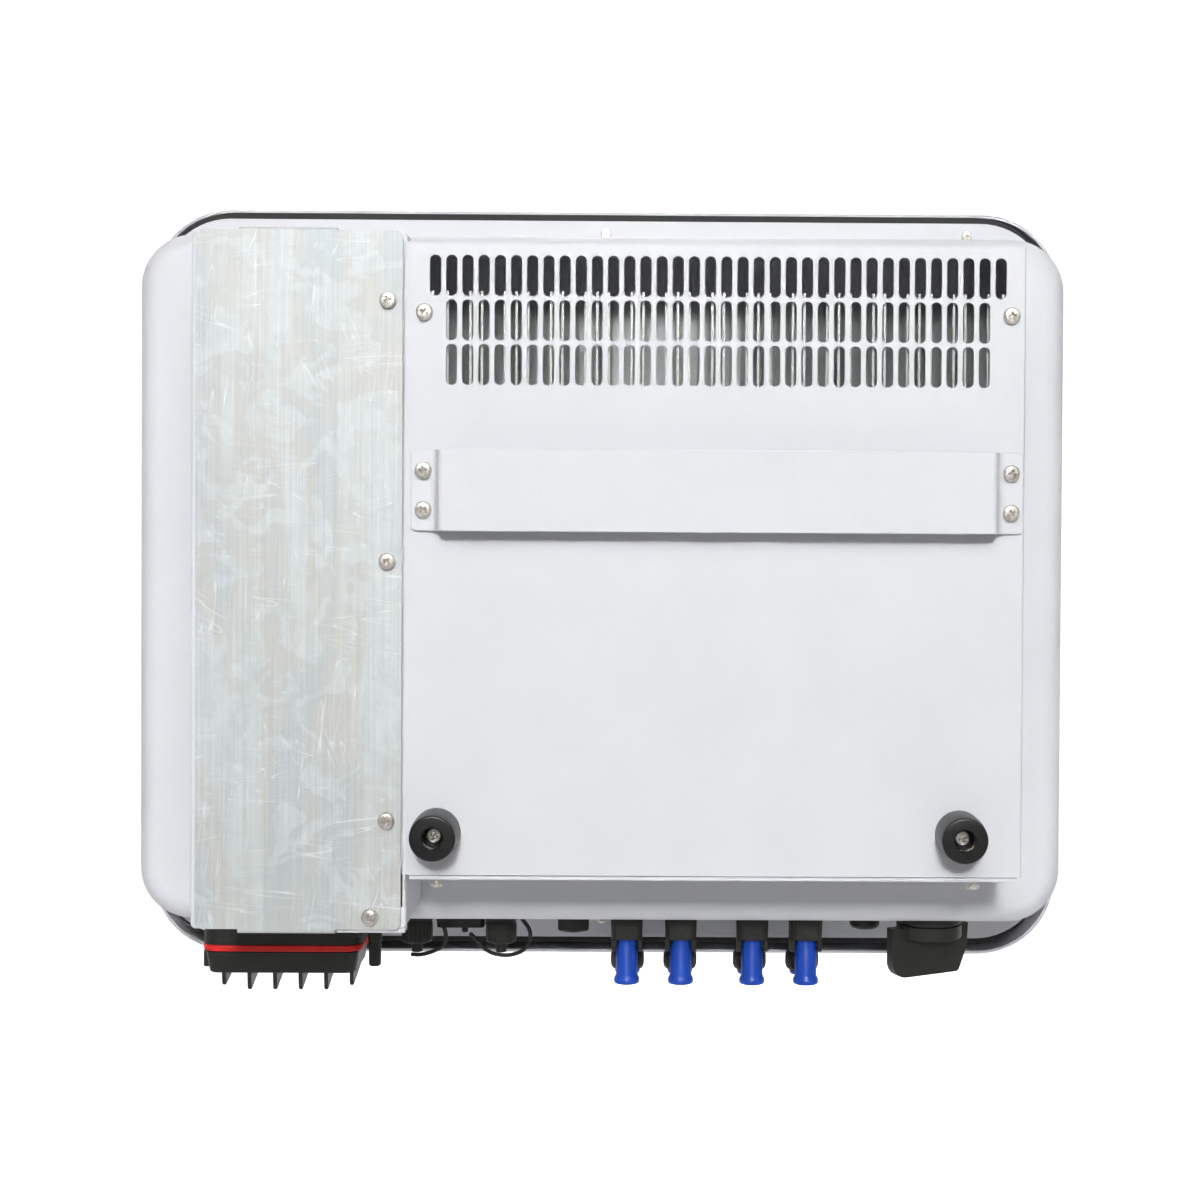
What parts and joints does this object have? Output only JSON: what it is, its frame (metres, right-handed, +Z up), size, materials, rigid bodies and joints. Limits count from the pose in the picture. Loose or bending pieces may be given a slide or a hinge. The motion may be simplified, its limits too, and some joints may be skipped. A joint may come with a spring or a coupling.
{
  "type": "string inverter",
  "caption": "Wall-hung solar string inverter with a slotted heatsink cover, aluminium inductor box, hanging bracket, rubber feet and bottom connectors with dust caps.",
  "frame": {"origin": "middle of the rear face of the hanging bracket", "axes": "+Y towards the wall, front at -Y, +Z up, +X towards the aluminium box and the AC connector"},
  "size_m": [0.5236, 0.2187, 0.4375],
  "materials": {
    "white_paint": "powder coat with a fine orange peel",
    "bare_aluminium": "bare, rolled and scratched",
    "black_plastic": "moulded satin",
    "grey_plastic": "moulded satin",
    "black_rubber": "matt",
    "red_rubber": "matt silicone",
    "blue_plastic": "moulded, soft gloss",
    "nickel_steel": "nickel plated",
    "window_glass": "dark gloss",
    "circuit_board": "solder mask",
    "potting": "cast resin"
  },
  "bodies": {
    "casing": {"ac_seal": "red_rubber", "ac_socket": "black_plastic", "blank_plug": "grey_plastic", "box_cover_plate": "bare_aluminium", "box_screw_1": "nickel_steel", "box_screw_2": "nickel_steel", "box_screw_3": "nickel_steel", "box_screw_4": "nickel_steel", "bracket_screw_1": "nickel_steel", "bracket_screw_2": "nickel_steel", "bracket_screw_3": "nickel_steel", "bracket_screw_4": "nickel_steel", "breather_valve": "black_plastic", "cap_strap_1": "black_rubber", "cap_strap_2": "black_rubber", "capacitor_bank": "black_plastic", "com_socket_1": "black_plastic", "com_socket_2": "black_plastic", "cover_gasket": "black_rubber", "dc_switch_base": "black_plastic", "foot_screw_left": "nickel_steel", "foot_screw_right": "nickel_steel", "front_cover": "white_paint", "guide_post": "black_plastic", "hanging_bracket": "white_paint", "heatsink": "bare_aluminium", "housing": "white_paint", "inductor_box": "white_paint", "main_board": "circuit_board", "port_cover": "black_plastic", "potted_inductors": "potting", "power_module": "potting", "pv_socket_1": "black_plastic", "pv_socket_2": "black_plastic", "pv_socket_3": "black_plastic", "pv_socket_4": "black_plastic", "pv_socket_5": "black_plastic", "pv_socket_6": "black_plastic", "pv_socket_7": "black_plastic", "pv_socket_8": "black_plastic", "rubber_foot_left": "black_rubber", "rubber_foot_right": "black_rubber", "status_window": "window_glass", "vent_bottom_plate": "white_paint", "vent_cover": "white_paint", "vent_cover_screw_1": "nickel_steel", "vent_cover_screw_2": "nickel_steel"},
    "switch_knob": {"dc_switch_knob": "grey_plastic"},
    "ac_plug_body": {"ac_plug": "black_plastic"},
    "ac_latch_body": {"ac_latch": "black_plastic"},
    "com_cap_body_1": {"com_cap_1": "black_plastic"},
    "com_cap_body_2": {"com_cap_2": "black_plastic"},
    "pv_cap_body_1": {"pv_cap_1": "blue_plastic"},
    "pv_cap_body_2": {"pv_cap_2": "blue_plastic"},
    "pv_cap_body_3": {"pv_cap_3": "blue_plastic"},
    "pv_cap_body_4": {"pv_cap_4": "blue_plastic"},
    "pv_cap_body_5": {"pv_cap_5": "blue_plastic"},
    "pv_cap_body_6": {"pv_cap_6": "blue_plastic"},
    "pv_cap_body_7": {"pv_cap_7": "blue_plastic"},
    "pv_cap_body_8": {"pv_cap_8": "blue_plastic"}
  },
  "joints": [
    {"name": "dc_switch_turn", "type": "hinge", "parent": "casing", "child": "switch_knob", "pos_m": [-0.1211, -0.112, -0.2421], "axis": [0, 0, -1], "range_deg": [0, 90]},
    {"name": "ac_plug_pull", "type": "slide", "parent": "casing", "child": "ac_plug_body", "axis": [0, 0, -1], "range_m": [0, 0.035]},
    {"name": "ac_latch_press", "type": "slide", "parent": "ac_plug_body", "child": "ac_latch_body", "axis": [-1, 0, 0], "range_m": [0, 0.0014], "stiffness_N_per_m": 500, "springref_m": -0.001},
    {"name": "pv_cap_1_pull", "type": "slide", "parent": "casing", "child": "pv_cap_body_1", "axis": [0, 0, -1], "range_m": [0, 0.03]},
    {"name": "pv_cap_2_pull", "type": "slide", "parent": "casing", "child": "pv_cap_body_2", "axis": [0, 0, -1], "range_m": [0, 0.03]},
    {"name": "pv_cap_3_pull", "type": "slide", "parent": "casing", "child": "pv_cap_body_3", "axis": [0, 0, -1], "range_m": [0, 0.03]},
    {"name": "pv_cap_4_pull", "type": "slide", "parent": "casing", "child": "pv_cap_body_4", "axis": [0, 0, -1], "range_m": [0, 0.03]},
    {"name": "pv_cap_5_pull", "type": "slide", "parent": "casing", "child": "pv_cap_body_5", "axis": [0, 0, -1], "range_m": [0, 0.03]},
    {"name": "pv_cap_6_pull", "type": "slide", "parent": "casing", "child": "pv_cap_body_6", "axis": [0, 0, -1], "range_m": [0, 0.03]},
    {"name": "pv_cap_7_pull", "type": "slide", "parent": "casing", "child": "pv_cap_body_7", "axis": [0, 0, -1], "range_m": [0, 0.03]},
    {"name": "pv_cap_8_pull", "type": "slide", "parent": "casing", "child": "pv_cap_body_8", "axis": [0, 0, -1], "range_m": [0, 0.03]},
    {"name": "com_cap_1_turn", "type": "hinge", "parent": "casing", "child": "com_cap_body_1", "pos_m": [0.1607, -0.117, -0.2495], "axis": [0, 0, 1], "range_deg": [0, 90]},
    {"name": "com_cap_2_turn", "type": "hinge", "parent": "casing", "child": "com_cap_body_2", "pos_m": [0.1144, -0.117, -0.2495], "axis": [0, 0, 1], "range_deg": [0, 90]}
  ]
}
